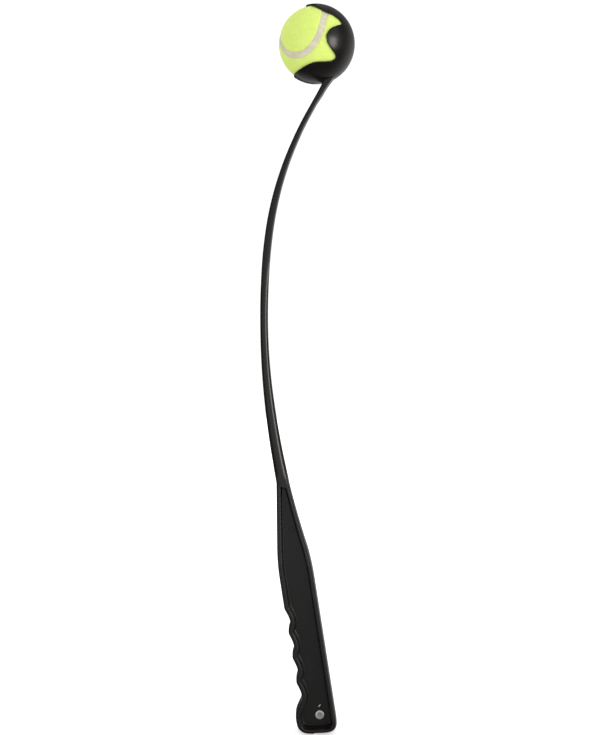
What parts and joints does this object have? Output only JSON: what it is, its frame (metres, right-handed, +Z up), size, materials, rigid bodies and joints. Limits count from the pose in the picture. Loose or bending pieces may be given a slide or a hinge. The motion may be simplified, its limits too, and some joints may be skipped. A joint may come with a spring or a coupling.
{
  "type": "tennis ball launcher",
  "caption": "Moulded dog-toy throwing stick: finger-grooved handle, thin bowed shaft and a clawed cup that grips and releases a tennis ball.",
  "frame": {"origin": "middle of the hand's grip, in the launcher's mid-plane", "axes": "+Z up along the launcher from the grip towards the ball, -X the side that the ball leaves to, Y square to the launcher's mid-plane"},
  "size_m": [0.0831, 0.066, 0.6379],
  "materials": {
    "black_plastic": "satin injection-moulded black plastic",
    "rivet_metal": "pressed and lightly burnished",
    "ball_felt": "napped yellow-green felt",
    "seam_cement": "matt pale cement",
    "core_rubber": "matt cured rubber"
  },
  "bodies": {
    "launcher": {"handle": "black_plastic", "shaft": "black_plastic", "cup": "black_plastic", "top_claw": "black_plastic", "bottom_claw": "black_plastic", "rivet": "rivet_metal", "rivet_washer": "rivet_metal"},
    "ball": {"ball_core_front": "core_rubber", "ball_core_back": "core_rubber", "felt_panel_a": "ball_felt", "felt_panel_b": "ball_felt", "ball_seam": "seam_cement"}
  },
  "joints": [
    {"name": "ball_release", "type": "slide", "parent": "launcher", "child": "ball", "axis": [-0.9854, 0, 0.1702], "range_m": [0, 0.06], "deforming": ["top_claw", "bottom_claw"]}
  ]
}
